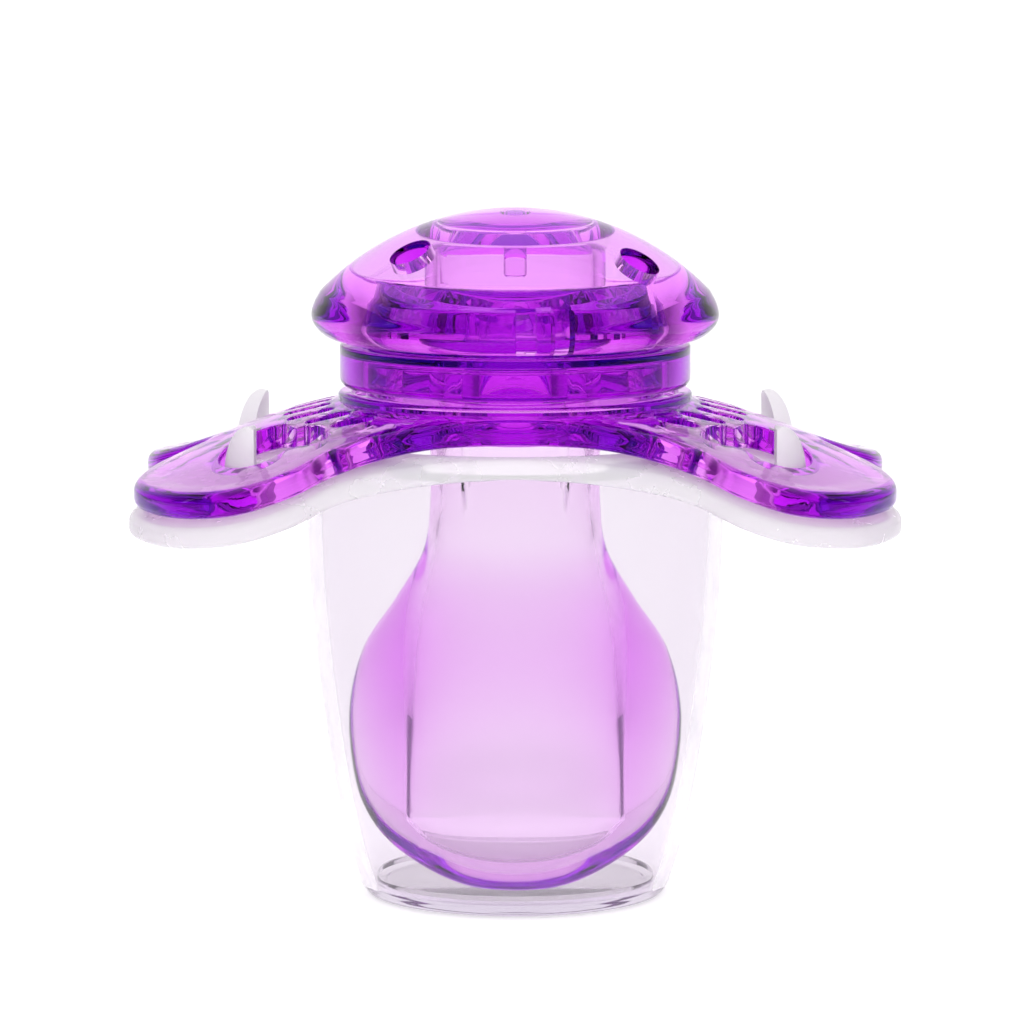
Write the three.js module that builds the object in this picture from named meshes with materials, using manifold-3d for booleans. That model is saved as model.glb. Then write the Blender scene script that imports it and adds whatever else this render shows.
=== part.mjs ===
// A baby soother (pacifier) standing in its push-on protective cap.
// Millimetres, +Z up. The origin is the centre of the cap's flat base, X runs along the
// wings of the shield and the front of the soother faces -Y.
import * as THREE from "three";
import { mergeVertices } from "three/addons/utils/BufferGeometryUtils.js";
import Module from "manifold-3d";

const wasm = await Module();
wasm.setup();

// Fit between separate pieces.
const FIT = 0.3;

// The bell: the curved surface that the shield and the cap's flange share.
const BELL_CREST = 31.5;
const BELL_FALL = 4.6;
const BELL_START = 9;
const BELL_END = 27.5;

// Shield.
const SHIELD_THICK = 1.65;
const SHIELD_WAIST = 12.1;
const NECK_HOLE_R = 5.75;
const LIP_INNER_R = 10.2;
const LIP_OUTER_R = 11.1;
const LIP_TOP = 31.9;
const SEAT_INNER_R = 8.2;
const SEAT_OUTER_R = 9.2;
const SEAT_TOP = 33.9;
const RING_SINK = 0.6;

// One vent, in the quadrant of +X and +Y: a large oval with a scalloped inner end.
const VENT = { x: 15.8, y: 7.8, rx: 2.45, ry: 3.75 };
const SCALLOPS = [
  { x: 13.6, y: 8.7, r: 1.9 },
  { x: 12.3, y: 9.9, r: 1.0 },
];

// The row of parallel slots between the knob and the vents.
const SLOT_WIDTH = 1.3;
const SLOTS = [
  { x: 13.0, y: 1.2, length: 2.9 },
  { x: 12.7, y: 3.6, length: 2.9 },
  { x: 11.55, y: 6.0, length: 2.8 },
  { x: 9.95, y: 8.4, length: 2.7 },
];

// Cap.
const FLANGE_GAP = 0.35;
const FLANGE_THICK = 1.3;
const FLANGE_GROW = 0.3;
const FLANGE_WAIST = 13.35;
const CUP_WALL = 0.9;
const CUP_FLOOR = 0.9;
const CUP_TOP_R = 13.3;
const CUP_TOP = 28.4;
const CUP_OUTSIDE = [
  [9.75, 0.8],
  [10.4, 2.8],
  [11.25, 6.6],
  [12.1, 12],
  [12.8, 18.4],
  [CUP_TOP_R, CUP_TOP],
];
const CUP_FOOT = [
  [0, 0],
  [8.6, 0],
  [9.35, 0.25],
];
const CUP_INNER_FOOT = [
  [9, 1.3],
  [8.3, CUP_FLOOR],
  [0, CUP_FLOOR],
];
const FIN_CLEAR = 0.35;
const FIN_WALL = 1.1;
const FIN_INNER_X = 15.95;
const FIN_INNER_Y = 6.8;
const FIN_BASE = 26.4;
const FIN_TOP = 30.8;
const FIN_SHOULDER = 27.7;
const FIN_ROUND = 0.3;
const FIN_CORNER = { in: 0.4, down: 0.2 };

// Knob.
const DOME_R = 17;
const DOME_APEX = 43.3;
const DOME_WALL = 1.4;
const DOME_BOTTOM = 35.1;
const DOME_CAVITY_R = 9.6;
const DOME_EDGE_R = 12.2;
const DOME_RIM = [
  [12.3, 35.7],
  [12.68, 36.2],
  [12.78, 36.7],
  [12.6, 37.4],
];
const DOME_STEPS = 6;
const ROOF_STEPS = 3;
const TUBE_OUTER_R = 5.65;
const TUBE_INNER_R = 4.9;
const TUBE_BOTTOM = 38.2;
const CEILING = 41.8;
const STEM_R = 0.72;
const STEM_BOTTOM = 39.8;
const AIR_HOLE_R = 1.4;
const AIR_HOLES = [
  { angle: -140, radius: 8.5 },
  { angle: -35, radius: 9.4 },
];

const COLLAR_R = 11;
const COLLAR_BOTTOM = 32.2;
const COLLAR_TOP = 34.8;
const COLLAR_FLOOR = 34.2;
const DISC_TOP = 36.2;
const COLLAR_EDGE = [
  [0.6, 0],
  [0.15, 0.2],
  [0, 0.6],
];
const COLLAR_HOLE_R = 3.8;
const SPIGOT_OUTER_R = 9.3;
const SPIGOT_INNER_R = 8.4;
const SPIGOT_TOP = 37.2;
const FINGER_SLOT = 1.2;
const FINGER_SLOT_DEPTH = 2;
const FINGER_SLOT_HEIGHT = 4;
const FINGER_SLOT_ANGLES = [-86, -72, 34, 48, 154, 168];

// Teat and the plug in its neck.
const TEAT_FLANGE_R = 7.15;
const TEAT_TIP = 1.3;
const TEAT_LEAN = 6.4;
const TEAT_BEND_TOP = 21;
const TEAT_FLAT_TOP = 22;
const NECK_R = 5.35;
const BULB = { flatBottom: 8, flatness: 0.55 };
const BULB_OUTLINE = [
  [0, TEAT_TIP],
  [3, 1.6],
  [5.6, 2.6],
  [8.05, 4.3],
  [9.5, 6.4],
  [10.3, 9.3],
  [10.4, 12.4],
  [9.5, 15.8],
  [7.5, 18.8],
  [5.75, 21.9],
  [NECK_R, 25],
];
const HOLLOW_R = 4.5;
const HOLLOW = { flatBottom: 5, flatness: 0.58 };
const HOLLOW_OUTLINE = [
  [0, 2.7],
  [3.5, 3.4],
  [6.1, 5.4],
  [6.6, 8.5],
  [6.4, 15],
  [5.2, 21],
  [HOLLOW_R, 25],
];
const PLUG_HEAD_R = 6;
const PLUG_HEAD = { bottom: DISC_TOP + FIT, top: 37.4 };
const PLUG_PIN_R = 3.2;
const PLUG_BORE_R = 2.3;
const PLUG_BOTTOM = 28.6;

// How finely the curves are cut, and limits that are past the sheets' own.
const TURN_SEGMENTS = 44;
const BELL_SEGMENTS = 36;
const BELL_STEPS = 7;
const ROUND_SEGMENTS = 14;
const SLOT_SEGMENTS = 3;
const TEAT_SEGMENTS = 30;
const CUP_STEPS = 10;
const BULB_STEPS = 14;
const HOLLOW_STEPS = 10;
const FIN_STEPS = 10;
const OUTLINE_POINTS = 80;
const BLANK_R = 30;
const CUT_BOTTOM = 15;
const CUT_TOP = 35;

// ---- solids -------------------------------------------------------------

function solidOf(geometry) {
  geometry.deleteAttribute("normal");
  geometry.deleteAttribute("uv");
  const merged = mergeVertices(geometry, 1e-4);
  return new wasm.Manifold(
    new wasm.Mesh({
      numProp: 3,
      vertProperties: merged.attributes.position.array,
      triVerts: new Uint32Array(merged.index.array),
    }),
  );
}

function geometryOf(solid) {
  const mesh = solid.getMesh();
  const geometry = new THREE.BufferGeometry();
  geometry.setAttribute("position", new THREE.BufferAttribute(mesh.vertProperties, 3));
  geometry.setIndex(new THREE.BufferAttribute(mesh.triVerts, 1));
  geometry.computeVertexNormals();
  return geometry;
}

// A solid turned about Z. The profile holds [radius, height] pairs, counter-clockwise.
function turned(profile, segments = TURN_SEGMENTS) {
  const points = profile.map(([r, z]) => new THREE.Vector2(r, z));
  return new THREE.LatheGeometry(points, segments).rotateX(Math.PI / 2);
}

function ring(innerR, outerR, bottom, top) {
  return solidOf(
    turned([
      [innerR, bottom],
      [outerR, bottom],
      [outerR, top],
      [innerR, top],
      [innerR, bottom],
    ]),
  );
}

function prism(shape, bottom = CUT_BOTTOM, top = CUT_TOP, curveSegments = ROUND_SEGMENTS) {
  const options = { depth: top - bottom, bevelEnabled: false, curveSegments };
  return solidOf(new THREE.ExtrudeGeometry(shape, options).translate(0, 0, bottom));
}

function ovalShape(x, y, rx, ry) {
  return new THREE.Shape().absellipse(x, y, rx, ry, 0, 2 * Math.PI);
}

function slotShape(x, y, length, width) {
  const r = width / 2;
  const reach = length / 2 - r;
  const shape = new THREE.Shape();
  shape.absarc(x + reach, y, r, -Math.PI / 2, Math.PI / 2);
  shape.absarc(x - reach, y, r, Math.PI / 2, 1.5 * Math.PI);
  return shape;
}

// A smooth line through a few [radius, height] points.
function smooth(points, divisions) {
  const curve = new THREE.SplineCurve(points.map(([r, z]) => new THREE.Vector2(r, z)));
  return curve.getPoints(divisions).map((p) => [Math.max(p.x, 0), p.y]);
}

function smoothstep(from, to, value) {
  const t = THREE.MathUtils.clamp((value - from) / (to - from), 0, 1);
  return t * t * (3 - 2 * t);
}

// The signs of X and Y in each quadrant.
const QUADRANTS = [
  [1, 1],
  [-1, 1],
  [-1, -1],
  [1, -1],
];

// ---- the bell and the butterfly outline ------------------------------------

function bell(r) {
  const t = THREE.MathUtils.clamp((r - BELL_START) / (BELL_END - BELL_START), 0, 1);
  return BELL_CREST - (BELL_FALL * (1 - Math.cos(Math.PI * t))) / 2;
}

// A round sheet of even height that follows the bell, outward from one radius.
function bellSheet(innerR, drop, thick) {
  const stride = (BLANK_R - innerR) / BELL_STEPS;
  const radii = Array.from({ length: BELL_STEPS + 1 }, (_, i) => innerR + stride * i);
  const under = radii.map((r) => [r, bell(r) - drop - thick]);
  const over = radii.map((r) => [r, bell(r) - drop]).reverse();
  return solidOf(turned([...under, ...over, under[0]], BELL_SEGMENTS));
}

// Quarter of the outline, from the waist at the front to the notch at the wing's end.
function butterfly(waist, grow) {
  const quarter = [
    [0, waist],
    [5.6, waist + 0.1],
    [10.7, Math.max(13.6, waist + 0.5)],
    [13.6, 15.3],
    [17.2, 16.1],
    [20.6, 14.5],
    [22.9, 10.8],
    [23.5, 7.2],
    [22.7, 3.6],
    [21.1, 1.4],
    [19.4, 0],
  ].map(([x, y]) => [x + (x > 20 ? grow : 0), y + (y > 14 ? grow : 0)]);
  const back = quarter.slice(1, -1).reverse();
  const loop = [
    ...quarter,
    ...back.map(([x, y]) => [x, -y]),
    [0, -waist],
    ...quarter.slice(1, -1).map(([x, y]) => [-x, -y]),
    [-quarter.at(-1)[0], 0],
    ...back.map(([x, y]) => [-x, y]),
  ];
  const curve = new THREE.CatmullRomCurve3(
    loop.map(([x, y]) => new THREE.Vector3(x, y, 0)),
    true,
  );
  const outline = curve.getPoints(OUTLINE_POINTS).slice(0, -1);
  return new THREE.Shape(outline.map((p) => new THREE.Vector2(p.x, p.y)));
}

// ---- pieces ---------------------------------------------------------------

function makeShield() {
  let shield = bellSheet(NECK_HOLE_R, 0, SHIELD_THICK).intersect(prism(butterfly(SHIELD_WAIST, 0)));
  for (const [sx, sy] of QUADRANTS) {
    shield = shield.subtract(prism(ovalShape(sx * VENT.x, sy * VENT.y, VENT.rx, VENT.ry)));
    for (const s of SCALLOPS) {
      shield = shield.subtract(prism(ovalShape(sx * s.x, sy * s.y, s.r, s.r)));
    }
    for (const s of SLOTS) {
      const slot = slotShape(sx * s.x, sy * s.y, s.length, SLOT_WIDTH);
      shield = shield.subtract(prism(slot, CUT_BOTTOM, CUT_TOP, SLOT_SEGMENTS));
    }
  }
  const lip = ring(LIP_INNER_R, LIP_OUTER_R, BELL_CREST - RING_SINK, LIP_TOP);
  const seat = ring(SEAT_INNER_R, SEAT_OUTER_R, BELL_CREST - RING_SINK, SEAT_TOP);
  return shield.add(lip).add(seat);
}

// One fin of the cap: a curved wall that follows the outer end of a vent.
function makeFin(sx, sy) {
  const rx = VENT.rx - FIN_CLEAR;
  const ry = VENT.ry - FIN_CLEAR;
  const outer = ovalShape(sx * VENT.x, sy * VENT.y, rx, ry);
  const inner = ovalShape(sx * VENT.x, sy * VENT.y, rx - FIN_WALL, ry - FIN_WALL);
  const wall = prism(outer, FIN_BASE, FIN_TOP).subtract(prism(inner, FIN_BASE - 1, FIN_TOP + 1));

  const tip = VENT.x + VENT.rx;
  const side = new THREE.Shape();
  side.moveTo(FIN_INNER_X, FIN_BASE - 1);
  side.lineTo(tip, FIN_BASE - 1);
  side.lineTo(tip, FIN_SHOULDER);
  const corner = FIN_TOP - FIN_CORNER.down;
  side.quadraticCurveTo(tip - FIN_ROUND, corner, FIN_INNER_X + FIN_CORNER.in, FIN_TOP);
  side.lineTo(FIN_INNER_X, corner);
  const reach = VENT.y + VENT.ry;
  const options = { depth: reach - FIN_INNER_Y, bevelEnabled: false, curveSegments: FIN_STEPS };
  const blade = new THREE.ExtrudeGeometry(side, options).rotateX(Math.PI / 2);
  blade.translate(0, reach, 0);
  let keep = solidOf(blade);
  if (sx < 0) keep = keep.mirror([1, 0, 0]);
  if (sy < 0) keep = keep.mirror([0, 1, 0]);
  return wall.intersect(keep);
}

function makeCap() {
  const outside = smooth(CUP_OUTSIDE, CUP_STEPS);
  const inside = outside.map(([r, z]) => [r - CUP_WALL, z]).reverse();
  const cup = solidOf(turned([...CUP_FOOT, ...outside, ...inside.slice(0, -1), ...CUP_INNER_FOOT]));
  const sheet = bellSheet(CUP_TOP_R - CUP_WALL, SHIELD_THICK + FLANGE_GAP, FLANGE_THICK);
  let cap = sheet.intersect(prism(butterfly(FLANGE_WAIST, FLANGE_GROW))).add(cup);
  for (const [sx, sy] of QUADRANTS) cap = cap.add(makeFin(sx, sy));
  return cap;
}

// The teat leans towards the front and flattens as it goes down.
function bentLathe(profile, { flatBottom, flatness }) {
  const geometry = turned(profile, TEAT_SEGMENTS);
  const position = geometry.attributes.position;
  for (let i = 0; i < position.count; i++) {
    const z = position.getZ(i);
    const t = THREE.MathUtils.clamp((TEAT_BEND_TOP - z) / (TEAT_BEND_TOP - TEAT_TIP), 0, 1);
    const flat = 1 - flatness * (1 - smoothstep(flatBottom, TEAT_FLAT_TOP, z));
    position.setY(i, position.getY(i) * flat - TEAT_LEAN * t ** 3);
  }
  return solidOf(geometry);
}

function makeTeat() {
  const flangeBottom = BELL_CREST + FIT;
  const top = SEAT_TOP + 1;
  const body = bentLathe(
    [
      ...smooth(BULB_OUTLINE, BULB_STEPS),
      [NECK_R, flangeBottom],
      [TEAT_FLANGE_R, flangeBottom],
      [TEAT_FLANGE_R, SEAT_TOP],
      [0, SEAT_TOP],
    ],
    BULB,
  );
  const core = bentLathe([...smooth(HOLLOW_OUTLINE, HOLLOW_STEPS), [HOLLOW_R, top], [0, top]], HOLLOW);
  return body.subtract(core);
}

function makePlug() {
  return solidOf(
    turned([
      [0, PLUG_HEAD.bottom],
      [PLUG_BORE_R, PLUG_HEAD.bottom],
      [PLUG_BORE_R, PLUG_BOTTOM],
      [PLUG_PIN_R, PLUG_BOTTOM],
      [PLUG_PIN_R, PLUG_HEAD.bottom],
      [PLUG_HEAD_R, PLUG_HEAD.bottom],
      [PLUG_HEAD_R, PLUG_HEAD.top],
      [0, PLUG_HEAD.top],
    ]),
  );
}

function makeCollar() {
  let collar = solidOf(
    turned([
      [SEAT_OUTER_R + FIT, COLLAR_BOTTOM],
      ...COLLAR_EDGE.map(([inset, rise]) => [COLLAR_R - inset, COLLAR_BOTTOM + rise]),
      [COLLAR_R, COLLAR_TOP],
      [SPIGOT_OUTER_R, COLLAR_TOP],
      [SPIGOT_OUTER_R, SPIGOT_TOP],
      [SPIGOT_INNER_R, SPIGOT_TOP],
      [SPIGOT_INNER_R, DISC_TOP],
      [COLLAR_HOLE_R, DISC_TOP],
      [COLLAR_HOLE_R, COLLAR_FLOOR],
      [SEAT_OUTER_R + FIT, COLLAR_FLOOR],
      [SEAT_OUTER_R + FIT, COLLAR_BOTTOM],
    ]),
  );
  for (const degrees of FINGER_SLOT_ANGLES) {
    const cut = new THREE.BoxGeometry(FINGER_SLOT_DEPTH, FINGER_SLOT, FINGER_SLOT_HEIGHT);
    cut.translate((SPIGOT_INNER_R + SPIGOT_OUTER_R) / 2, 0, DOME_BOTTOM + FINGER_SLOT_HEIGHT / 2);
    cut.rotateZ(THREE.MathUtils.degToRad(degrees));
    collar = collar.subtract(solidOf(cut));
  }
  return collar;
}

function makeDome() {
  const centre = DOME_APEX - DOME_R;
  // Points on a sphere about the dome's centre, from one radius to another.
  const arc = (sphereR, from, to, steps) =>
    Array.from({ length: steps + 1 }, (_, i) => {
      const r = from + ((to - from) * i) / steps;
      return [r, centre + Math.sqrt(sphereR ** 2 - r ** 2)];
    });
  let dome = solidOf(
    turned([
      [0, STEM_BOTTOM],
      [STEM_R, STEM_BOTTOM],
      [STEM_R, CEILING],
      [TUBE_INNER_R, CEILING],
      [TUBE_INNER_R, TUBE_BOTTOM],
      [TUBE_OUTER_R, TUBE_BOTTOM],
      ...arc(DOME_R - DOME_WALL, TUBE_OUTER_R, DOME_CAVITY_R, ROOF_STEPS),
      [DOME_CAVITY_R, DOME_BOTTOM],
      [COLLAR_R, DOME_BOTTOM],
      ...DOME_RIM,
      ...arc(DOME_R, DOME_EDGE_R, 0, DOME_STEPS),
    ]),
  );
  for (const { angle, radius } of AIR_HOLES) {
    const drill = new THREE.CylinderGeometry(AIR_HOLE_R, AIR_HOLE_R, 4 * DOME_WALL, ROUND_SEGMENTS);
    drill.rotateX(Math.PI / 2);
    drill.translate(0, 0, DOME_R - DOME_WALL / 2);
    drill.rotateY(Math.asin(radius / DOME_R));
    drill.rotateZ(THREE.MathUtils.degToRad(angle));
    drill.translate(0, 0, centre);
    dome = dome.subtract(solidOf(drill));
  }
  return dome;
}

// ---- materials and assembly ------------------------------------------------

function plastic(colour, opacity, roughness) {
  return new THREE.MeshStandardMaterial({
    color: colour,
    roughness,
    metalness: 0,
    transparent: true,
    opacity,
  });
}

function piece(name, solid, material) {
  const mesh = new THREE.Mesh(geometryOf(solid), material);
  mesh.name = name;
  return mesh;
}

const soother = new THREE.Group();
soother.add(
  piece("shield", makeShield(), plastic(0xb02ae0, 0.7, 0.08)),
  piece("teat", makeTeat(), plastic(0xdca8f2, 0.6, 0.25)),
  piece("teat_plug", makePlug(), plastic(0xb02ae0, 0.7, 0.1)),
  piece("knob_collar", makeCollar(), plastic(0xb02ae0, 0.7, 0.08)),
  piece("knob_dome", makeDome(), plastic(0xb02ae0, 0.7, 0.06)),
);

const assembly = new THREE.Group();
assembly.add(piece("cap", makeCap(), plastic(0xf3eff8, 0.5, 0.35)), soother);

export default assembly;
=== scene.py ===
"""A clear violet baby soother in its frosted push-on cap: the looks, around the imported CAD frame."""
import math

import bmesh
import bpy
import numpy as np
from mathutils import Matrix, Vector
from mathutils.geometry import delaunay_2d_cdt


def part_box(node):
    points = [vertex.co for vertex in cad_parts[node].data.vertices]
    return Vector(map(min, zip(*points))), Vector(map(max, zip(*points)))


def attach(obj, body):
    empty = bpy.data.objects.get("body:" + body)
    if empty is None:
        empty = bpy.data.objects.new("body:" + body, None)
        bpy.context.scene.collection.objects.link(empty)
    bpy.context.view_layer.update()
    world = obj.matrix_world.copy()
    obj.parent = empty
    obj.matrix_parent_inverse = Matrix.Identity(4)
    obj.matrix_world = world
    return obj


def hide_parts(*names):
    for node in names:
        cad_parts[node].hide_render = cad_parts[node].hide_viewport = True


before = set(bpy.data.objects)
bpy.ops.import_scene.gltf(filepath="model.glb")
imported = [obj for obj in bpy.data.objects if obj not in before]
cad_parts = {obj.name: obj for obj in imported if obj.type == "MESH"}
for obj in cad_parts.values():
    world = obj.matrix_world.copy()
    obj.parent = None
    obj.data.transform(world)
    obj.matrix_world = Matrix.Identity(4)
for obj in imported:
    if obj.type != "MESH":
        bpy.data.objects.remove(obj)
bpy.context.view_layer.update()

MM = 0.001

# Sizes are in millimetres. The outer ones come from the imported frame, and the rest are the CAD's own.
COLLAR_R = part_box("knob_collar")[1].x / MM
COLLAR_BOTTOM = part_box("knob_collar")[0].z / MM
SPIGOT_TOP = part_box("knob_collar")[1].z / MM
DOME_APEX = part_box("knob_dome")[1].z / MM
DOME_RIM_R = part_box("knob_dome")[1].x / MM
DOME_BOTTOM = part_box("knob_dome")[0].z / MM
SEAT_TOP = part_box("shield")[1].z / MM
TEAT_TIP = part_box("teat")[0].z / MM
PLUG_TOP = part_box("teat_plug")[1].z / MM
PLUG_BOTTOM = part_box("teat_plug")[0].z / MM

# The bell: the curved surface that the shield and the cap's flange share.
BELL_CREST = 31.5
BELL_FALL = 4.6
BELL_START = 9.0
BELL_END = 27.5

# The butterfly outline: a quarter of it, from beyond the waist to the inward bend at the wing's tip.
OUTLINE = [
    (13.6, 15.3),
    (17.2, 16.1),
    (20.6, 14.5),
    (22.9, 10.8),
    (23.5, 7.2),
    (22.7, 3.6),
    (21.1, 1.4),
    (19.4, 0),
]
WAIST = [(0, 0), (5.6, 0.1), (10.7, 0.5)]
WAIST_END = 13.6
GROWS = {"x": 20, "y": 14}
OUTLINE_STEPS = 12

SHIELD_WAIST = 12.1
SHIELD_THICK = 1.65
SHIELD_EDGE = 0.62
HOLE_EDGE = 0.14
NECK_HOLE_R = 5.75
LIP = {"inner": 10.2, "outer": 11.1, "top": 31.9, "foot": 0.14}
SEAT = {"inner": 8.2, "outer": 9.2}
HUB_R = 11.22
POOL_STARTS = 1.35
POOL_FULL = 1.85
POOL_DEPTH = 0.13
POOL_FADE = 0.5
POOL_RINGS = 4

VENT = {"x": 15.8, "y": 7.8, "rx": 2.45, "ry": 3.75}
SCALLOPS = [{"x": 13.6, "y": 8.7, "r": 1.9}, {"x": 12.3, "y": 9.9, "r": 1.0}]
SLOT_WIDTH = 1.3
SLOTS = [
    {"x": 13.0, "y": 1.2, "length": 2.9},
    {"x": 12.7, "y": 3.6, "length": 2.9},
    {"x": 11.55, "y": 6.0, "length": 2.8},
    {"x": 9.95, "y": 8.4, "length": 2.7},
]
QUADRANTS = [(1, 1), (-1, 1), (-1, -1), (1, -1)]

FLANGE_WAIST = 13.35
FLANGE_GROW = 0.3
FLANGE_GAP = 0.35
FLANGE_THICK = 1.3
FLANGE_EDGE = 0.45
FLANGE_BEAD_R = 12.3
BEAD_EDGE = 0.3
CUP_WALL = 0.9
CUP_FLOOR = 0.9
CUP_OUTSIDE = [(9.75, 0.8), (10.4, 2.8), (11.25, 6.6), (12.1, 12), (12.8, 18.4), (13.28, 28.6)]
CUP_FOOT = [(8.7, 0), (9.3, 0.16), (9.75, 0.8)]
CUP_INNER_FOOT = [(8.75, 1.35), (8.1, CUP_FLOOR)]
FIN_CLEAR = 0.35
FIN_WALL = 1.1
FIN_BASE = 27.6
FIN_TOP = 30.8
FIN_SHOULDER = 27.7
FIN_INNER_X = 15.95
FIN_ROUND = 0.3
FIN_CORNER = {"in": 0.4, "down": 0.2}
FIN_FIRST, FIN_LAST = -17, 85.9
FIN_STEPS = 28
FIN_ROWS = 10
FIN_BEVEL = 0.16

DOME_R = 17.0
DOME_WALL = 1.4
DOME_CAVITY_R = 9.6
DOME_EDGE_R = 12.2
DOME_RIM = [(11.7, 35.28), (12.3, 35.7), (12.68, 36.2), (DOME_RIM_R, 36.7), (12.6, 37.4), (12.2, 38.14)]
TUBE = {"outer": 5.65, "inner": 4.9, "bottom": 38.2}
CEILING = 41.8
STEM = {"r": 0.72, "bottom": 39.15}
AIR_HOLE_R = 1.36
AIR_HOLES = [{"angle": -140, "radius": 8.5}, {"angle": -35, "radius": 9.4}]
COLLAR_TOP = 34.8
COLLAR_FLOOR = 34.2
DISC_TOP = 36.2
COLLAR_HOLE_R = 3.8
SPIGOT = {"outer": 9.3, "inner": 8.4}
FINGER_SLOT = {"width": 1.2, "depth": 2, "height": 4}
FINGER_SLOT_ANGLES = [-86, -72, 34, 48, 154, 168]
FIT = 0.3

TEAT_FLANGE_R = 7.15
TEAT_LEAN = 6.4
TEAT_BEND_TOP = 21.0
TEAT_FLAT_TOP = 22
BULB = [
    (0, TEAT_TIP),
    (3, 1.6),
    (5.6, 2.6),
    (8.05, 4.3),
    (9.5, 6.4),
    (10.3, 9.3),
    (10.4, 12.4),
    (9.5, 15.8),
    (7.5, 18.8),
    (5.75, 21.9),
    (5.35, 25),
    (5.35, 29),
]
BULB_FLAT = {"below": 8, "share": 0.55}
NECK_R = 5.35
HOLLOW_R = 4.5
HOLLOW = [(HOLLOW_R, 27), (4.7, 24), (5.35, 20.5), (6.1, 17), (6.5, 13.5), (6.65, 9), (6.6, 5.2)]
HOLLOW_END = [(6.6, 5.2), (5.4, 4.1), (3.9, 3.4), (2, 2.95), (0, 2.8)]
HOLLOW_FLAT = {"below": 5, "share": 0.58}
GROOVE = {"x": 2.95, "width": 0.2, "depth": 0.55, "bottom": 22.4, "top": 27}
PLUG = {"head_r": 6.0, "head_bottom": DISC_TOP + FIT, "pin_r": 3.2, "bore_r": 2.3}

TURN_SEGMENTS = 192
TEAT_SEGMENTS = 128
PLUG_SEGMENTS = 96
HOLE_SEGMENTS = 48
CURVE_STEPS = 8
FOOT_STEPS = 5
EDGE_STEPS = 6
GRID = 0.62
GRID_CLEAR = 0.55 * GRID
RING_CLEAR = 0.2
GRID_ROW = 0.866

# Every face angle over these degrees stays a hard edge.
SHARP = {"plain": 34, "shield": 40, "teat": 50, "fin": 40}

# Light. Brightness is a share of white, places are in metres and lamps in watts.
WHITE = (1.06, 1.06, 1.06)
BLACK = (0, 0, 0)
FLAGS = (0.3, 0.2, 0.34)
FRONT = (0.65, 0.65, 0.65)
FULL = (1, 1, 1)
FLAG_STOPS = [(0.45, WHITE), (0.8, FLAGS)]
FRONT_STOPS = [(0.0, FRONT), (0.4, FULL)]
HIGH_STOPS = [(0.6, BLACK), (0.9, WHITE)]
FLOOR_GLOW = 0.62
# The floor's painted glow near the object, by distance in metres: it fills in the shadow that the object
# casts.
SHADOW_FILL_GLOW_STOPS = [(0.02, (0.9, 0.9, 0.9)), (0.05, (0.45, 0.45, 0.45)), (0.35, (0.1, 0.1, 0.1))]
AHEAD_STOPS = [(0.55, BLACK), (0.85, (0.5, 0.5, 0.5))]
FLOOR = {"r": 6000, "z": -0.1, "segments": 96}
LAMPS = [
    {"name": "top", "place": (0, 0.1, 0.9), "aim": (0, 0, 0.03), "size": (0.7, 0.7), "watts": 0.9},
    {"name": "left", "place": (-0.8, -0.2, 0.5), "aim": (0, 0, 0.03), "size": (0.12, 0.7), "watts": 0.5},
    {"name": "right", "place": (0.8, -0.2, 0.5), "aim": (0, 0, 0.03), "size": (0.12, 0.7), "watts": 0.5},
]
FILL = {"name": "fill", "place": (0, -1.2, 0.5), "aim": (0, 0, 0.02), "size": (0.9, 0.7), "watts": 6.5}

# Colour. The first three are what is left of red, green and blue after a long way through.
VIOLET = (0.85, 0.05, 0.945)
SILICONE_VIOLET = (0.84, 0.05, 0.945)
MILKY = (0.78, 0.7, 0.845)
VIOLET_GLOSS = (0.5, 0.15, 0.6)
PLAIN_GLOSS = (1, 1, 1)
VEIL = (0.915, 0.89, 0.92)
PALE = (1, 0.99, 1)
FLOOR_PALE = (0.93, 0.93, 0.935, 1)

# Materials. LOSS is how much of the green goes in a millimetre, and HAZE the share of light that a milky
# skin scatters. The indices are lower than the real materials', to bend the light as the photo shows.
LOSS = {"shield": 0.42, "plug": 0.3, "collar": 1.2, "dome": 0.22, "silicone": 0.14, "cap": 0.018}
INDEX = {"plastic": 1.49, "collar": 1.42, "dome": 1.32, "silicone": 1.2, "cap": 1.18}
HAZE = {"none": 0, "cup": 0.05, "flange": 0.58, "fins": 0.75}
ROUGH = {
    "plastic": (0.0, 0.02),
    "silicone": (0.0, 0.03),
    "cup": (0.01, 0.04),
    "flange": (0.2, 0.3),
    "fins": (0.35, 0.5),
    "floor": (0.75, 0.9),
}
FLOW = {"plastic": 0.00001, "silicone": 0.00002}
WAVES = {"scale": 150, "detail": 2, "stretch": (1, 1, 0.6)}
GRAIN = {"scale": 2600, "detail": 3, "share": 0.03}
SMUDGES = {"scale": 420, "detail": 4}
FLOOR_SMUDGES = {"scale": 3, "detail": 3}


# ---- camera and studio ------------------------------------------------------------

CAMERA_ELEVATION = math.radians(7.2)
CAMERA_DISTANCE = 395
CAMERA_LENS = 221
AIM = Vector((-0.2, 0, 24.15))


def make_camera():
    data = bpy.data.cameras.new("camera")
    data.lens = CAMERA_LENS
    data.sensor_width = 36
    data.clip_start = 0.01
    data.clip_end = 50
    camera = bpy.data.objects.new("camera", data)
    bpy.context.scene.collection.objects.link(camera)
    back = Vector((0, -math.cos(CAMERA_ELEVATION), math.sin(CAMERA_ELEVATION)))
    camera.location = (AIM + CAMERA_DISTANCE * back) * MM
    camera.rotation_mode = "QUATERNION"
    camera.rotation_quaternion = (-back).to_track_quat("-Z", "Y")
    bpy.context.scene.camera = camera


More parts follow.
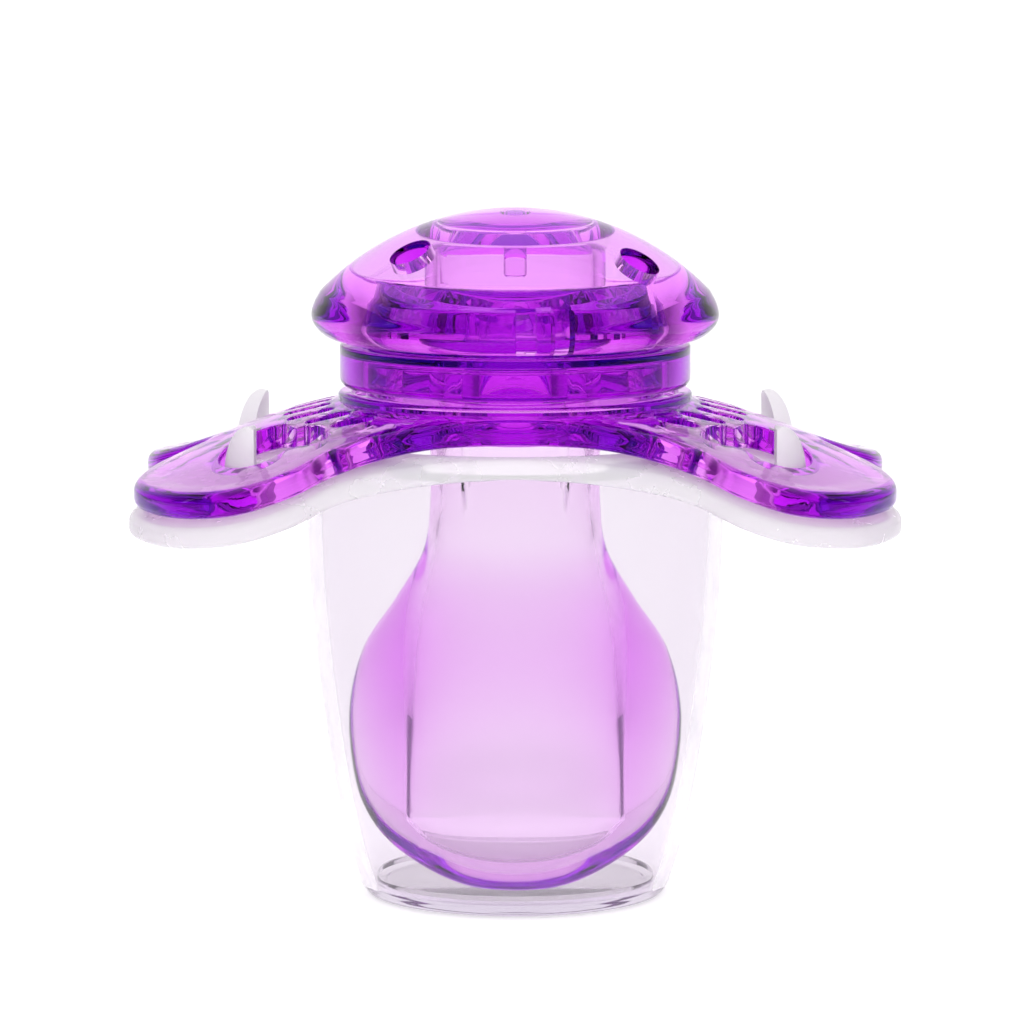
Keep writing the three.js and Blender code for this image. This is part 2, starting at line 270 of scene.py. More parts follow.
def area_light(lamp, mirrored):
    """A rectangular lamp. One that isn't mirrored lights only matte surfaces."""
    data = bpy.data.lights.new(lamp["name"], "AREA")
    data.shape = "RECTANGLE"
    data.size, data.size_y = lamp["size"]
    data.energy = lamp["watts"]
    light = bpy.data.objects.new(lamp["name"], data)
    bpy.context.scene.collection.objects.link(light)
    light.visible_glossy = mirrored
    light.visible_transmission = mirrored
    light.location = lamp["place"]
    light.rotation_mode = "QUATERNION"
    light.rotation_quaternion = (Vector(lamp["aim"]) - Vector(lamp["place"])).to_track_quat("-Z", "Y")


def ramp_of(nodes, links, source, stops):
    """A ramp over source. A stop is (position, colour)."""
    ramp = nodes.new("ShaderNodeValToRGB")
    links.new(source, ramp.inputs[0])
    elements = ramp.color_ramp.elements
    while len(elements) < len(stops):
        elements.new(0.5)
    for element, (position, colour) in zip(elements, stops):
        element.position = position
        element.color = (*colour, 1)
    return ramp.outputs[0]


def mixed(nodes, links, how, a, b):
    mix = nodes.new("ShaderNodeMix")
    mix.data_type = "RGBA"
    mix.blend_type = how
    mix.inputs[0].default_value = 1
    links.new(a, mix.inputs[6])
    links.new(b, mix.inputs[7])
    return mix.outputs[2]


def make_studio():
    """Bright behind the object and above it, softer in front, with dark flags at both sides."""
    scene = bpy.context.scene
    scene.view_settings.view_transform = "Standard"
    scene.cycles.max_bounces = 28
    scene.cycles.transmission_bounces = 28
    scene.cycles.glossy_bounces = 10
    scene.cycles.transparent_max_bounces = 16
    world = bpy.data.worlds.new("studio")
    scene.world = world
    world.use_nodes = True
    nodes, links = world.node_tree.nodes, world.node_tree.links
    where = nodes.new("ShaderNodeTexCoord")
    split = nodes.new("ShaderNodeSeparateXYZ")
    links.new(where.outputs["Generated"], split.inputs[0])
    sideways = nodes.new("ShaderNodeMath")
    sideways.operation = "ABSOLUTE"
    links.new(split.outputs["X"], sideways.inputs[0])
    flags = ramp_of(nodes, links, sideways.outputs[0], FLAG_STOPS)
    front = ramp_of(nodes, links, split.outputs["Y"], FRONT_STOPS)
    high = ramp_of(nodes, links, split.outputs["Z"], HIGH_STOPS)
    level = mixed(nodes, links, "LIGHTEN", mixed(nodes, links, "MULTIPLY", flags, front), high)
    links.new(level, nodes["Background"].inputs["Color"])

    profile = [(0, FLOOR["z"]), (FLOOR["r"], FLOOR["z"])]
    floor = turned_piece("studio_floor", profile, False, plain_floor(), FLOOR["segments"])
    for lamp in LAMPS:
        area_light(lamp, True)
    area_light(FILL, False)


# ---- materials --------------------------------------------------------------------


def node_material(name):
    material = bpy.data.materials.new(name)
    material.use_nodes = True
    return material, material.node_tree.nodes, material.node_tree.links


def noise(nodes, links, scale, detail, stretch=(1, 1, 1)):
    where = nodes.new("ShaderNodeTexCoord")
    mapping = nodes.new("ShaderNodeMapping")
    mapping.inputs["Scale"].default_value = stretch
    links.new(where.outputs["Object"], mapping.inputs["Vector"])
    texture = nodes.new("ShaderNodeTexNoise")
    texture.inputs["Scale"].default_value = scale
    texture.inputs["Detail"].default_value = detail
    links.new(mapping.outputs["Vector"], texture.inputs["Vector"])
    return texture.outputs["Fac"]


def spread(nodes, links, source, low, high):
    span = nodes.new("ShaderNodeMapRange")
    span.inputs["From Min"].default_value = 0.35
    span.inputs["From Max"].default_value = 0.65
    span.inputs["To Min"].default_value = low
    span.inputs["To Max"].default_value = high
    links.new(source, span.inputs["Value"])
    return span.outputs["Result"]


def bumps(nodes, links, layers):
    """Bump nodes in a chain. A layer is (height source, depth in metres)."""
    normal = None
    for source, depth in layers:
        bump = nodes.new("ShaderNodeBump")
        bump.inputs["Distance"].default_value = depth
        links.new(source, bump.inputs["Height"])
        if normal is not None:
            links.new(normal, bump.inputs["Normal"])
        normal = bump.outputs["Normal"]
    return normal


def plain_floor():
    """A pale floor that glows a little near the object, a painted glow that fills in the shadow under
    it, and in the direction behind it.
    """
    material, nodes, links = node_material("studio_floor")
    shader = nodes["Principled BSDF"]
    shader.inputs["Base Color"].default_value = FLOOR_PALE
    shader.inputs["Emission Strength"].default_value = FLOOR_GLOW
    where = nodes.new("ShaderNodeTexCoord")
    reach = nodes.new("ShaderNodeVectorMath")
    reach.operation = "LENGTH"
    links.new(where.outputs["Object"], reach.inputs[0])
    ahead = nodes.new("ShaderNodeVectorMath")
    ahead.operation = "NORMALIZE"
    links.new(where.outputs["Object"], ahead.inputs[0])
    split = nodes.new("ShaderNodeSeparateXYZ")
    links.new(ahead.outputs[0], split.inputs[0])
    # Painted glow near the object, which fills in the shadow that it casts on the floor.
    near = ramp_of(nodes, links, reach.outputs["Value"], SHADOW_FILL_GLOW_STOPS)
    far = ramp_of(nodes, links, split.outputs["Y"], AHEAD_STOPS)
    links.new(mixed(nodes, links, "LIGHTEN", near, far), shader.inputs["Emission Color"])
    smudges = noise(nodes, links, FLOOR_SMUDGES["scale"], FLOOR_SMUDGES["detail"])
    links.new(spread(nodes, links, smudges, *ROUGH["floor"]), shader.inputs["Roughness"])
    return material


def clear_material(name, tint, passes, loss, rough, ior, haze, flow, gloss):
    """A clear moulded material.

    passes is the colour left after a long way through it, rough the range of its roughness, flow how
    far its moulded surface waves, in metres, and gloss tints what its skin mirrors.
    """
    material, nodes, links = node_material(name)
    shader = nodes["Principled BSDF"]
    shader.inputs["Base Color"].default_value = (*tint, 1)
    shader.inputs["Transmission Weight"].default_value = 1 - haze
    shader.inputs["IOR"].default_value = ior
    shader.inputs["Specular Tint"].default_value = (*gloss, 1)
    smudges = noise(nodes, links, SMUDGES["scale"], SMUDGES["detail"])
    links.new(spread(nodes, links, smudges, *rough), shader.inputs["Roughness"])
    waves = noise(nodes, links, WAVES["scale"], WAVES["detail"], WAVES["stretch"])
    grain = noise(nodes, links, GRAIN["scale"], GRAIN["detail"])
    layers = [(waves, flow), (grain, flow * GRAIN["share"])]
    links.new(bumps(nodes, links, layers), shader.inputs["Normal"])
    volume = nodes.new("ShaderNodeVolumeAbsorption")
    volume.inputs["Color"].default_value = (*passes, 1)
    volume.inputs["Density"].default_value = loss / MM / (1 - passes[1])
    links.new(volume.outputs[0], nodes["Material Output"].inputs["Volume"])
    return material


def violet_plastic(name, part, ior=INDEX["plastic"]):
    rough, haze, flow = ROUGH["plastic"], HAZE["none"], FLOW["plastic"]
    return clear_material(name, PALE, VIOLET, LOSS[part], rough, ior, haze, flow, VIOLET_GLOSS)


def silicone(name):
    loss, rough, ior = LOSS["silicone"], ROUGH["silicone"], INDEX["silicone"]
    haze, flow = HAZE["none"], FLOW["silicone"]
    return clear_material(name, PALE, SILICONE_VIOLET, loss, rough, ior, haze, flow, VIOLET_GLOSS)


def frosted_plastic(name, tint, part):
    rough, ior, haze = ROUGH[part], INDEX["cap"], HAZE[part]
    return clear_material(name, tint, MILKY, LOSS["cap"], rough, ior, haze, FLOW["plastic"], PLAIN_GLOSS)


# ---- mesh work --------------------------------------------------------------------


def new_object(name, verts, faces, material, sharp=SHARP["plain"]):
    """A mesh from points in millimetres, with its faces turned outward and its hard edges kept."""
    mesh = bpy.data.meshes.new(name)
    mesh.from_pydata([tuple(float(c) * MM for c in v) for v in verts], [], faces)
    work = bmesh.new()
    work.from_mesh(mesh)
    bmesh.ops.recalc_face_normals(work, faces=work.faces)
    work.to_mesh(mesh)
    work.free()
    shade(mesh, sharp)
    mesh.materials.append(material)
    made = bpy.data.objects.new(name, mesh)
    bpy.context.scene.collection.objects.link(made)
    return made


def shade(mesh, sharp):
    mesh.shade_smooth()
    mesh.set_sharp_from_angle(angle=math.radians(sharp))


def rounded(corners, steps=6):
    """A profile through (radius, height) corners. A third number rounds that corner by that radius."""
    made = []
    for i, corner in enumerate(corners):
        here = np.array(corner[:2], float)
        fillet = corner[2] if len(corner) > 2 else 0
        if not fillet:
            made.append(tuple(here))
            continue
        before = np.array(corners[i - 1][:2], float) - here
        after = np.array(corners[(i + 1) % len(corners)][:2], float) - here
        reach_limit = 0.49 * min(np.linalg.norm(before), np.linalg.norm(after))
        before /= np.linalg.norm(before)
        after /= np.linalg.norm(after)
        half = math.acos(float(np.clip(before @ after, -1, 1))) / 2
        reach = min(fillet / math.tan(half), reach_limit)
        radius = reach * math.tan(half)
        middle = before + after
        centre = here + middle / np.linalg.norm(middle) * radius / math.sin(half)
        first = here + before * reach - centre
        last = here + after * reach - centre
        start = math.atan2(first[1], first[0])
        turn = (math.atan2(last[1], last[0]) - start + math.pi) % (2 * math.pi) - math.pi
        for k in range(steps + 1):
            angle = start + turn * k / steps
            made.append((centre[0] + radius * math.cos(angle), centre[1] + radius * math.sin(angle)))
    return made


def turned(profile, closed, segments=TURN_SEGMENTS):
    """Points and faces of a (radius, height) profile turned about Z."""
    verts, rings, faces = [], [], []
    for r, z in profile:
        if r < 1e-6:
            rings.append([len(verts)])
            verts.append((0, 0, z))
            continue
        rings.append(list(range(len(verts), len(verts) + segments)))
        for k in range(segments):
            angle = 2 * math.pi * k / segments
            verts.append((r * math.cos(angle), r * math.sin(angle), z))
    pairs = list(zip(rings, rings[1:]))
    if closed:
        pairs.append((rings[-1], rings[0]))
    for a, b in pairs:
        for k in range(segments):
            n = (k + 1) % segments
            if len(a) == 1:
                faces.append((a[0], b[k], b[n]))
            elif len(b) == 1:
                faces.append((a[k], b[0], a[n]))
            else:
                faces.append((a[k], a[n], b[n], b[k]))
    return verts, faces


def turned_piece(name, profile, closed, material, segments=TURN_SEGMENTS):
    return new_object(name, *turned(profile, closed, segments), material)


def combine(piece, tool, operation):
    """piece becomes its union with tool, or what is left when tool is cut away."""
    modifier = piece.modifiers.new("combine", "BOOLEAN")
    modifier.object = tool
    modifier.operation = operation
    modifier.solver = "EXACT"
    if operation == "UNION":
        modifier.material_mode = "TRANSFER"
    graph = bpy.context.evaluated_depsgraph_get()
    mesh = bpy.data.meshes.new_from_object(piece.evaluated_get(graph))
    piece.modifiers.clear()
    piece.data = mesh
    bpy.data.objects.remove(tool)
    shade(mesh, SHARP["plain"])


def smooth_line(points, per_span, closed=False):
    """A centripetal Catmull-Rom curve through points."""
    p = np.array(points, float)
    if closed:
        p = np.vstack([p[-1], p, p[0], p[1]])
    else:
        p = np.vstack([2 * p[0] - p[1], p, 2 * p[-1] - p[-2]])
    made = []
    for a, b, c, d in zip(p, p[1:], p[2:], p[3:]):
        t1 = math.sqrt(np.linalg.norm(b - a))
        t2 = t1 + math.sqrt(np.linalg.norm(c - b))
        t3 = t2 + math.sqrt(np.linalg.norm(d - c))
        for t in np.linspace(t1, t2, per_span, endpoint=False):
            ab = (t1 - t) / t1 * a + t / t1 * b
            bc = (t2 - t) / (t2 - t1) * b + (t - t1) / (t2 - t1) * c
            cd = (t3 - t) / (t3 - t2) * c + (t - t2) / (t3 - t2) * d
            abc = (t2 - t) / t2 * ab + t / t2 * bc
            bcd = (t3 - t) / (t3 - t1) * bc + (t - t1) / (t3 - t1) * cd
            made.append((t2 - t) / (t2 - t1) * abc + (t - t1) / (t2 - t1) * bcd)
    if not closed:
        made.append(p[-2])
    return np.array(made)


def points_of(line):
    return [tuple(point) for point in line]


def smoothstep(start, end, value):
    t = np.clip((value - start) / (end - start), 0, 1)
    return t * t * (3 - 2 * t)


# ---- the bell and the butterfly sheet ------------------------------------------------


def bell(r):
    t = np.clip((r - BELL_START) / (BELL_END - BELL_START), 0, 1)
    return BELL_CREST - BELL_FALL * (1 - np.cos(math.pi * t)) / 2


def butterfly(waist, grow):
    """The outline, from the waist at the back round to it again, its wing ends grown outward."""
    quarter = [(x, waist + rise) for x, rise in WAIST]
    quarter[-1] = (quarter[-1][0], max(WAIST_END, quarter[-1][1]))
    quarter += OUTLINE
    quarter = [
        (x + (grow if x > GROWS["x"] else 0), y + (grow if y > GROWS["y"] else 0)) for x, y in quarter
    ]
    back = quarter[-2:0:-1]
    loop = [
        *quarter,
        *[(x, -y) for x, y in back],
        (0, -waist),
        *[(-x, -y) for x, y in quarter[1:-1]],
        (-quarter[-1][0], 0),
        *[(-x, y) for x, y in back],
    ]
    return smooth_line(loop, OUTLINE_STEPS, closed=True)[::-1]


def inward(loop, distance):
    """An anticlockwise loop moved inward by distance."""
    along = np.roll(loop, -1, 0) - np.roll(loop, 1, 0)
    along /= np.linalg.norm(along, axis=1)[:, None]
    return loop + distance * np.stack([-along[:, 1], along[:, 0]], 1)


def ray_to_circle(angle, dx, dy, r):
    """How far a ray at angle runs until it leaves a circle centred at (dx, dy), or 0 if it misses."""
    along = dx * np.cos(angle) + dy * np.sin(angle)
    inside = r * r - (dx * dx + dy * dy - along * along)
    return np.where(inside > 0, along + np.sqrt(np.maximum(inside, 0)), 0)


def vent_loop(sx, sy, grow, count=120):
    """A large oval with a scalloped inner end."""
    angle = np.linspace(0, 2 * math.pi, count, endpoint=False)
    rx, ry = VENT["rx"] + grow, VENT["ry"] + grow
    reach = 1 / np.sqrt((np.cos(angle) / rx) ** 2 + (np.sin(angle) / ry) ** 2)
    for s in SCALLOPS:
        far = ray_to_circle(angle, s["x"] - VENT["x"], s["y"] - VENT["y"], s["r"] + grow)
        reach = np.maximum(reach, far)
    x = VENT["x"] + reach * np.cos(angle)
    y = VENT["y"] + reach * np.sin(angle)
    return np.stack([sx * x, sy * y], 1)


def slot_loop(s, sx, sy, grow, count=12):
    r = SLOT_WIDTH / 2 + grow
    reach = s["length"] / 2 - SLOT_WIDTH / 2
    bend = np.linspace(-math.pi / 2, math.pi / 2, count)
    right = np.stack([reach + r * np.cos(bend), r * np.sin(bend)], 1)
    loop = np.vstack([right, -right])
    return loop + (sx * s["x"], sy * s["y"])


def circle_loop(r, count):
    angle = np.linspace(0, 2 * math.pi, count, endpoint=False)
    return np.stack([r * np.cos(angle), r * np.sin(angle)], 1)


def inside_loop(points, loop):
    """Which points lie inside a loop, by counting crossings."""
    a, b = loop, np.roll(loop, -1, 0)
    x, y = points[:, :1], points[:, 1:]
    crosses = (a[:, 1] > y) != (b[:, 1] > y)
    rise = np.where(b[:, 1] == a[:, 1], 1e-12, b[:, 1] - a[:, 1])
    at = a[:, 0] + (y - a[:, 1]) * (b[:, 0] - a[:, 0]) / rise
    return (crosses & (x < at)).sum(1) % 2 == 1


def distance_to(points, loop):
    """The distance from each point to a loop's line."""
    a, b = loop, np.roll(loop, -1, 0)
    along = b - a
    length2 = (along**2).sum(1)
    best = np.full(len(points), 1e9)
    for start in range(0, len(points), 400):
        p = points[start : start + 400, None, :]
        t = np.clip(((p - a) * along).sum(2) / length2, 0, 1)
        gap = np.linalg.norm(p - (a + t[..., None] * along), axis=2)
        best[start : start + 400] = gap.min(1)
    return best


def triangulate(loops, extra):
    """Triangles between the first loop and the others, through the extra points."""
    points, edges = [], []
    for loop in loops:
        start = len(points)
        points += [tuple(p) for p in loop]
        edges += [(start + k, start + (k + 1) % len(loop)) for k in range(len(loop))]
    points += [tuple(p) for p in extra]
    result = delaunay_2d_cdt([Vector(p) for p in points], edges, [], 0, 1e-7)
    place = [sources[0] for sources in result[3]]
    triangles = np.array([[place[v] for v in face] for face in result[2] if len(face) == 3])
    flat = np.array(points)
    middle = flat[triangles].mean(1)
    keep = inside_loop(middle, loops[0])
    for loop in loops[1:]:
        keep &= ~inside_loop(middle, loop)
    return flat, triangles[keep]


def grid_points(loops, spacing, clear):
    """A triangular grid of points between the first loop and the others, clear of all of them."""
    lo, hi = loops[0].min(0), loops[0].max(0)
    made = []
    rows = int((hi[1] - lo[1]) / (spacing * GRID_ROW)) + 1
    for j in range(rows):
        y = lo[1] + j * spacing * GRID_ROW
        shift = 0.5 * spacing * (j % 2)
        made += [(x + shift, y) for x in np.arange(lo[0], hi[0], spacing)]
    points = np.array(made)
    keep = inside_loop(points, loops[0])
    for loop in loops[1:]:
        keep &= ~inside_loop(points, loop)
    points = points[keep]
    for loop in loops:
        points = points[distance_to(points, loop) > clear]
    return points


def sheet(top, thick, rims, hub=None, rings=()):
    """A sheet between rims. top(points) is its upper surface and thick its height.

    A rim is (function of a distance into the material that gives its loop, edge radius), outline first.
    hub is (loop, profile): the profile of (radius, height) is turned and closes that inner loop.
    rings are loops of extra points that a step in the surface needs.
    """
    bounds = [loop_at(edge) for loop_at, edge in rims]
    if hub:
        bounds.append(hub[0])
    grid = grid_points(bounds, GRID, GRID_CLEAR)
    for ring in rings:
        ring = ring[inside_loop(ring, bounds[0])]
        for loop in bounds[1:]:
            ring = ring[~inside_loop(ring, loop)]
        for loop in bounds:
            ring = ring[distance_to(ring, loop) > RING_CLEAR]
        if len(ring):
            gaps = np.array([np.linalg.norm(ring - g, axis=1).min() for g in grid])
            grid = grid[gaps > 0.3 * GRID]
            grid = np.vstack([grid, ring])
    flat, triangles = triangulate(bounds, grid)
    count = len(flat)
    height = top(flat)
    verts = [(x, y, z) for (x, y), z in zip(flat, height)]
    verts += [(x, y, z - thick) for (x, y), z in zip(flat, plain_top(top, flat))]
    faces = [tuple(t) for t in triangles] + [tuple(t + count) for t in triangles]

    start = 0
    for (loop_at, edge), bound in zip(rims, bounds):
        size = len(bound)
        previous = list(range(start, start + size))
        last = [count + v for v in previous]
        for side, turns in ((1, range(1, EDGE_STEPS + 1)), (-1, range(EDGE_STEPS, 0, -1))):
            for k in turns:
                angle = math.pi / 2 * (1 - k / EDGE_STEPS)
                loop = loop_at(edge * (1 - math.cos(angle)))
                drop = edge * (1 - math.sin(angle))
                z = top(loop) - drop if side > 0 else plain_top(top, loop) - thick + drop
                ring = list(range(len(verts), len(verts) + size))
                verts += [(x, y, h) for (x, y), h in zip(loop, z)]
                faces += bridge(previous, ring)
                previous = ring
        faces += bridge(previous, last)
        start += size
    if hub:
        size = len(hub[0])
        previous = list(range(start, start + size))
        last = [count + v for v in previous]
        for r, z in hub[1]:
            ring = list(range(len(verts), len(verts) + size))
            verts += [(x, y, z) for x, y in circle_loop(r, size)]
            faces += bridge(previous, ring)
            previous = ring
        faces += bridge(previous, last)
    return verts, faces


def plain_top(top, points):
    """The sheet's underside follows the bell without the step in its upper surface."""
    return getattr(top, "plain", top)(points)


def bridge(a, b):
    size = len(a)
    return [(a[k], a[(k + 1) % size], b[(k + 1) % size], b[k]) for k in range(size)]


# ---- pieces -----------------------------------------------------------------------


def finished(piece, node, body):
    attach(piece, body)
    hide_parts(node)


def shield_top():
    outline = butterfly(SHIELD_WAIST, 0)

    def plain(points):
        return bell(np.linalg.norm(points, axis=1))

    def top(points):
        depth = POOL_DEPTH * smoothstep(POOL_STARTS, POOL_FULL, distance_to(points, outline))
        clear_of_hub = smoothstep(HUB_R, HUB_R + POOL_FADE, np.linalg.norm(points, axis=1))
        return plain(points) - depth * clear_of_hub

    top.plain = plain
    return top, outline


def make_shield():
    top, outline = shield_top()
    rims = [(lambda d: inward(outline, d), SHIELD_EDGE)]
    for sx, sy in QUADRANTS:
        rims.append((lambda d, sx=sx, sy=sy: vent_loop(sx, sy, d), HOLE_EDGE))
        for s in SLOTS:
            rims.append((lambda d, s=s, sx=sx, sy=sy: slot_loop(s, sx, sy, d), HOLE_EDGE))
    rings = [inward(outline, d) for d in np.linspace(POOL_STARTS, POOL_FULL, POOL_RINGS)]
    crest = BELL_CREST
    hub_edge = float(bell(HUB_R))
    profile = rounded(
        [
            (HUB_R, hub_edge),
            (LIP["outer"], crest - LIP["foot"], 0.08),
            (LIP["outer"], LIP["top"], 0.3),
            (LIP["inner"], LIP["top"], 0.3),
            (LIP["inner"], crest, 0.15),
            (SEAT["outer"], crest, 0.2),
            (SEAT["outer"], SEAT_TOP, 0.15),
            (SEAT["inner"], SEAT_TOP, 0.15),
            (SEAT["inner"], crest, 0.15),
            (NECK_HOLE_R, crest, 0.25),
            (NECK_HOLE_R, crest - SHIELD_THICK, 0.25),
            (HUB_R, hub_edge - SHIELD_THICK),
        ]
    )[1:-1]
    hub = (circle_loop(HUB_R, TURN_SEGMENTS), profile)
    verts, faces = sheet(top, SHIELD_THICK, rims, hub, rings)
    violet = violet_plastic("shield_clear_violet", "shield")
    piece = new_object("shield_visual", verts, faces, violet, SHARP["shield"])
    finished(piece, "shield", "soother")


def fin_height(x):
    """The fin's side: it bulges up from the shoulder to a small corner at its inner end."""
    t = np.linspace(1, 0, 24)
    start, middle, end = (1 - t) ** 2, 2 * t * (1 - t), t**2
    tip = VENT["x"] + VENT["rx"] - FIN_CLEAR
    corner = FIN_TOP - FIN_CORNER["down"]
    along = start * tip + middle * (tip - FIN_ROUND) + end * (FIN_INNER_X + FIN_CORNER["in"])
    up = start * FIN_SHOULDER + middle * corner + end * FIN_TOP
    return float(np.interp(x, [FIN_INNER_X, *along], [corner, *up]))


def make_fin(sx, sy, matte):
    """A curved wall that follows the outer end of a vent, with a shark fin's side."""
    rx, ry = VENT["rx"] - FIN_CLEAR, VENT["ry"] - FIN_CLEAR
    verts, sections = [], []
    for angle in np.radians(np.linspace(FIN_FIRST, FIN_LAST, FIN_STEPS)):
        out = np.array((math.cos(angle) / rx, math.sin(angle) / ry))
        out /= np.linalg.norm(out)
        outer = np.array((VENT["x"] + rx * math.cos(angle), VENT["y"] + ry * math.sin(angle)))
        inner = outer - FIN_WALL * out
        heights = np.linspace(FIN_BASE, fin_height(outer[0]), FIN_ROWS + 1)
        section = [(outer, z) for z in heights] + [(inner, z) for z in heights[::-1]]
        sections.append(list(range(len(verts), len(verts) + len(section))))
        verts += [(sx * point[0], sy * point[1], z) for point, z in section]
    faces = []
    for a, b in zip(sections, sections[1:]):
        faces += bridge(a, b)
    faces += [tuple(sections[0]), tuple(sections[-1])]
    fin = new_object("fin", verts, faces, matte)
    bevel = fin.modifiers.new("soft edges", "BEVEL")
    bevel.width = FIN_BEVEL * MM
    bevel.segments = 3
    bevel.angle_limit = math.radians(SHARP["fin"])
    graph = bpy.context.evaluated_depsgraph_get()
    fin.data = bpy.data.meshes.new_from_object(fin.evaluated_get(graph))
    fin.modifiers.clear()
    return fin


def make_cap():
    frosted = frosted_plastic("cap_frosted", VEIL, "cup")
    milky = frosted_plastic("cap_flange_milky", PALE, "flange")
    matte = frosted_plastic("cap_fins_matte", PALE, "fins")
    outside = points_of(smooth_line(CUP_OUTSIDE, CURVE_STEPS))
    inside = [(r - CUP_WALL, z) for r, z in outside[::-1]]
    foot = points_of(smooth_line(CUP_FOOT, FOOT_STEPS))[:-1]
    inner_foot = points_of(smooth_line([inside[-1], *CUP_INNER_FOOT], FOOT_STEPS))[1:]
    profile = [(0, 0), *foot, *outside, *inside, *inner_foot, (0, CUP_FLOOR)]
    cap = turned_piece("cap_visual", profile, False, frosted)

    outline = butterfly(FLANGE_WAIST, FLANGE_GROW)
    drop = SHIELD_THICK + FLANGE_GAP
    rims = [
        (lambda d: inward(outline, d), FLANGE_EDGE),
        (lambda d: circle_loop(FLANGE_BEAD_R + d, TURN_SEGMENTS), BEAD_EDGE),
    ]

    def top(points):
        return bell(np.linalg.norm(points, axis=1)) - drop

    flange = new_object("flange", *sheet(top, FLANGE_THICK, rims), milky)
    combine(cap, flange, "UNION")
    for sx, sy in QUADRANTS:
        combine(cap, make_fin(sx, sy, matte), "UNION")
    finished(cap, "cap", "cap")


def lean(verts, flat):
    """The teat leans towards the front and flattens as it goes down."""
    p = np.array(verts, float)
    t = np.clip((TEAT_BEND_TOP - p[:, 2]) / (TEAT_BEND_TOP - TEAT_TIP), 0, 1)
    narrow = 1 - flat["share"] * (1 - smoothstep(flat["below"], TEAT_FLAT_TOP, p[:, 2]))
    p[:, 1] = p[:, 1] * narrow - TEAT_LEAN * t**3
    return p


def groove(verts):
    """Two tapering grooves run down the front of the neck's bore."""
    p = np.array(verts, float)
    across = np.exp(-(((np.abs(p[:, 0]) - GROOVE["x"]) / GROOVE["width"]) ** 2))
    deep = GROOVE["depth"] * smoothstep(GROOVE["bottom"], GROOVE["top"], p[:, 2])
    p[:, 1] -= np.where(p[:, 1] < 0, across * deep, 0)
    return p


def make_teat():
    flange_bottom = BELL_CREST + FIT
    outside = points_of(smooth_line(BULB, CURVE_STEPS))
    outside[0] = BULB[0]
    top = rounded(
        [
            outside[-1],
            (NECK_R, flange_bottom, 0.25),
            (TEAT_FLANGE_R, flange_bottom, 0.3),
            (TEAT_FLANGE_R, SEAT_TOP, 0.3),
            (HOLLOW_R, SEAT_TOP, 0.2),
            (HOLLOW_R, 25),
        ]
    )[1:-1]
    sides = points_of(smooth_line(HOLLOW, CURVE_STEPS))
    bottom = points_of(smooth_line(HOLLOW_END, CURVE_STEPS))
    bottom[-1] = HOLLOW_END[-1]
    outer_verts, outer_faces = turned([*outside, *top], False, TEAT_SEGMENTS)
    inner_verts, inner_faces = turned([*sides, *bottom[1:]], False, TEAT_SEGMENTS)
    outer_verts = lean(outer_verts, BULB_FLAT)
    inner_verts = lean(groove(inner_verts), HOLLOW_FLAT)
    count = len(outer_verts)
    verts = np.vstack([outer_verts, inner_verts])
    faces = outer_faces + [tuple(v + count for v in f) for f in inner_faces]
    faces += bridge(list(range(count - TEAT_SEGMENTS, count)), list(range(count, count + TEAT_SEGMENTS)))
    piece = new_object("teat_visual", verts, faces, silicone("teat_violet_silicone"), SHARP["teat"])
    finished(piece, "teat", "soother")


def make_plug():
    profile = rounded(
        [
            (0, PLUG["head_bottom"]),
            (PLUG["bore_r"], PLUG["head_bottom"], 0.1),
            (PLUG["bore_r"], PLUG_BOTTOM, 0.15),
            (PLUG["pin_r"], PLUG_BOTTOM, 0.25),
            (PLUG["pin_r"], PLUG["head_bottom"], 0.2),
            (PLUG["head_r"], PLUG["head_bottom"], 0.2),
            (PLUG["head_r"], PLUG_TOP, 0.3),
            (0, PLUG_TOP),
        ]
    )
    violet = violet_plastic("plug_clear_violet", "plug")
    piece = turned_piece("teat_plug_visual", profile, False, violet, PLUG_SEGMENTS)
    finished(piece, "teat_plug", "soother")


def make_collar():
    bore = SEAT["outer"] + FIT
    profile = rounded(
        [
            (bore, COLLAR_BOTTOM, 0.1),
            (COLLAR_R, COLLAR_BOTTOM, 0.55),
            (COLLAR_R, COLLAR_TOP, 0.15),
            (SPIGOT["outer"], COLLAR_TOP, 0.1),
            (SPIGOT["outer"], SPIGOT_TOP, 0.2),
            (SPIGOT["inner"], SPIGOT_TOP, 0.2),
            (SPIGOT["inner"], DISC_TOP, 0.15),
            (COLLAR_HOLE_R, DISC_TOP, 0.2),
            (COLLAR_HOLE_R, COLLAR_FLOOR, 0.2),
            (bore, COLLAR_FLOOR, 0.15),
        ]
    )
    violet = violet_plastic("collar_clear_violet", "collar", INDEX["collar"])
    piece = turned_piece("knob_collar_visual", profile, True, violet)
    middle = (SPIGOT["inner"] + SPIGOT["outer"]) / 2
    for degrees in FINGER_SLOT_ANGLES:
        bpy.ops.mesh.primitive_cube_add(size=1)
        cutter = bpy.context.object
        angle = math.radians(degrees)
        level = DOME_BOTTOM + FINGER_SLOT["height"] / 2
        cutter.location = Vector((middle * math.cos(angle), middle * math.sin(angle), level)) * MM
        cutter.rotation_euler = (0, 0, angle)
        cutter.scale = Vector((FINGER_SLOT["depth"], FINGER_SLOT["width"], FINGER_SLOT["height"])) * MM
        bpy.context.view_layer.update()
        combine(piece, cutter, "DIFFERENCE")
    finished(piece, "knob_collar", "soother")


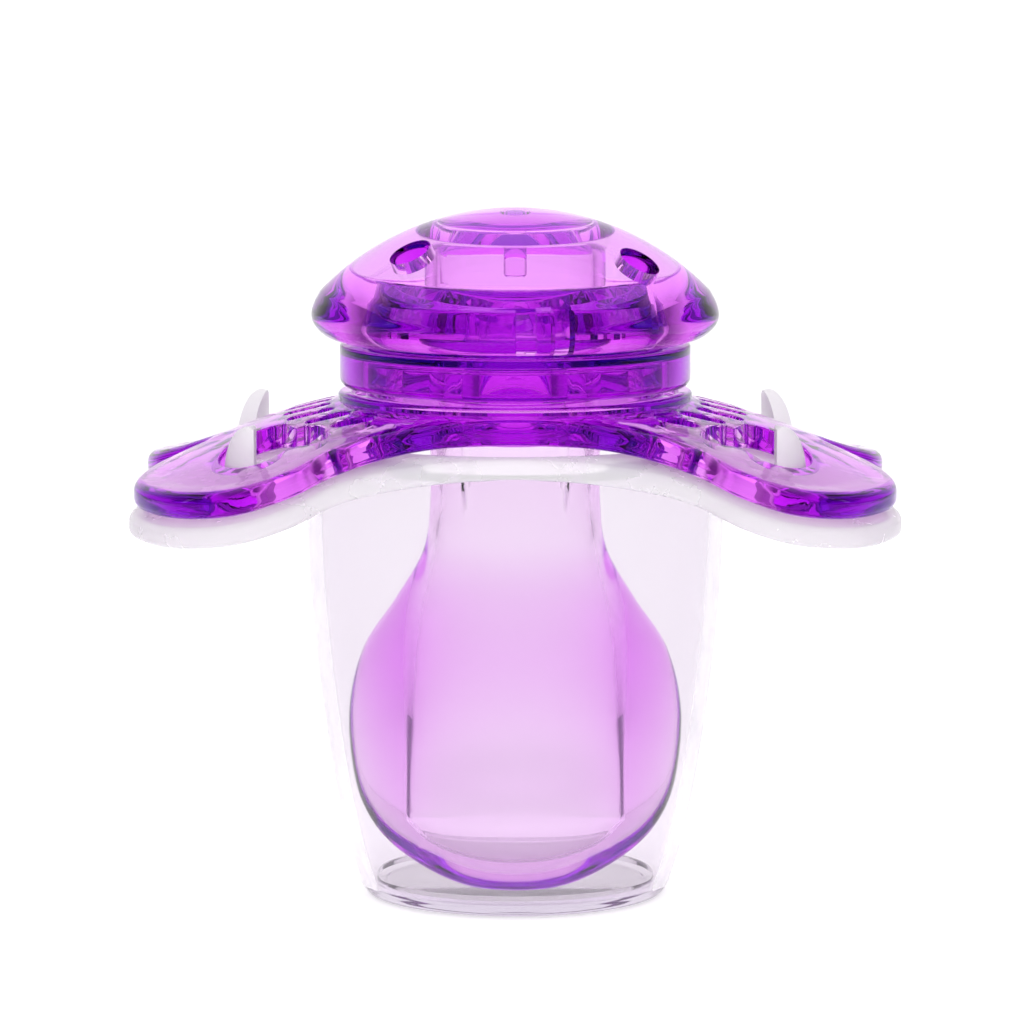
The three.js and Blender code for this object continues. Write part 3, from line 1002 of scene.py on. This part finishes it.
def make_dome():
    centre = DOME_APEX - DOME_R

    def sphere(radius, start, end, steps):
        return [(r, centre + math.sqrt(radius**2 - r**2)) for r in np.linspace(start, end, steps)]

    roof = sphere(DOME_R - DOME_WALL, TUBE["outer"], DOME_CAVITY_R, 14)
    rim = [(COLLAR_R + 0.1, DOME_BOTTOM + 0.02), *DOME_RIM]
    inner = rounded(
        [
            (0, STEM["bottom"]),
            (STEM["r"], STEM["bottom"], 0.25),
            (STEM["r"], CEILING, 0.3),
            (TUBE["inner"], CEILING, 0.3),
            (TUBE["inner"], TUBE["bottom"], 0.12),
            (TUBE["outer"], TUBE["bottom"], 0.12),
            (TUBE["outer"], roof[0][1], 0.2),
            roof[1],
        ]
    )[:-1]
    foot = rounded(
        [
            roof[-2],
            (*roof[-1], 0.3),
            (DOME_CAVITY_R, DOME_BOTTOM, 0.1),
            (COLLAR_R - 0.15, DOME_BOTTOM, 0.1),
            rim[0],
        ]
    )[1:-1]
    outer = points_of(smooth_line(rim, 6))
    cover = sphere(DOME_R, DOME_EDGE_R, 0, 40)[1:]
    profile = [*inner, *roof[1:-1], *foot, *outer, *cover]
    violet = violet_plastic("dome_clear_violet", "dome", INDEX["dome"])
    piece = turned_piece("knob_dome_visual", profile, False, violet)
    for hole in AIR_HOLES:
        tilt = math.asin(hole["radius"] / DOME_R)
        turn = math.radians(hole["angle"])
        out = Vector((math.sin(tilt) * math.cos(turn), math.sin(tilt) * math.sin(turn), math.cos(tilt)))
        half = 2 * DOME_WALL
        rod = [(0, -half), (AIR_HOLE_R, -half), (AIR_HOLE_R, half), (0, half)]
        drill = turned_piece("drill", rod, False, piece.data.materials[0], HOLE_SEGMENTS)
        drill.rotation_mode = "QUATERNION"
        drill.rotation_quaternion = out.to_track_quat("Z", "Y")
        drill.location = (Vector((0, 0, centre)) + out * (DOME_R - DOME_WALL / 2)) * MM
        bpy.context.view_layer.update()
        combine(piece, drill, "DIFFERENCE")
    finished(piece, "knob_dome", "soother")


make_camera()
make_studio()
make_cap()
make_shield()
make_teat()
make_plug()
make_collar()
make_dome()
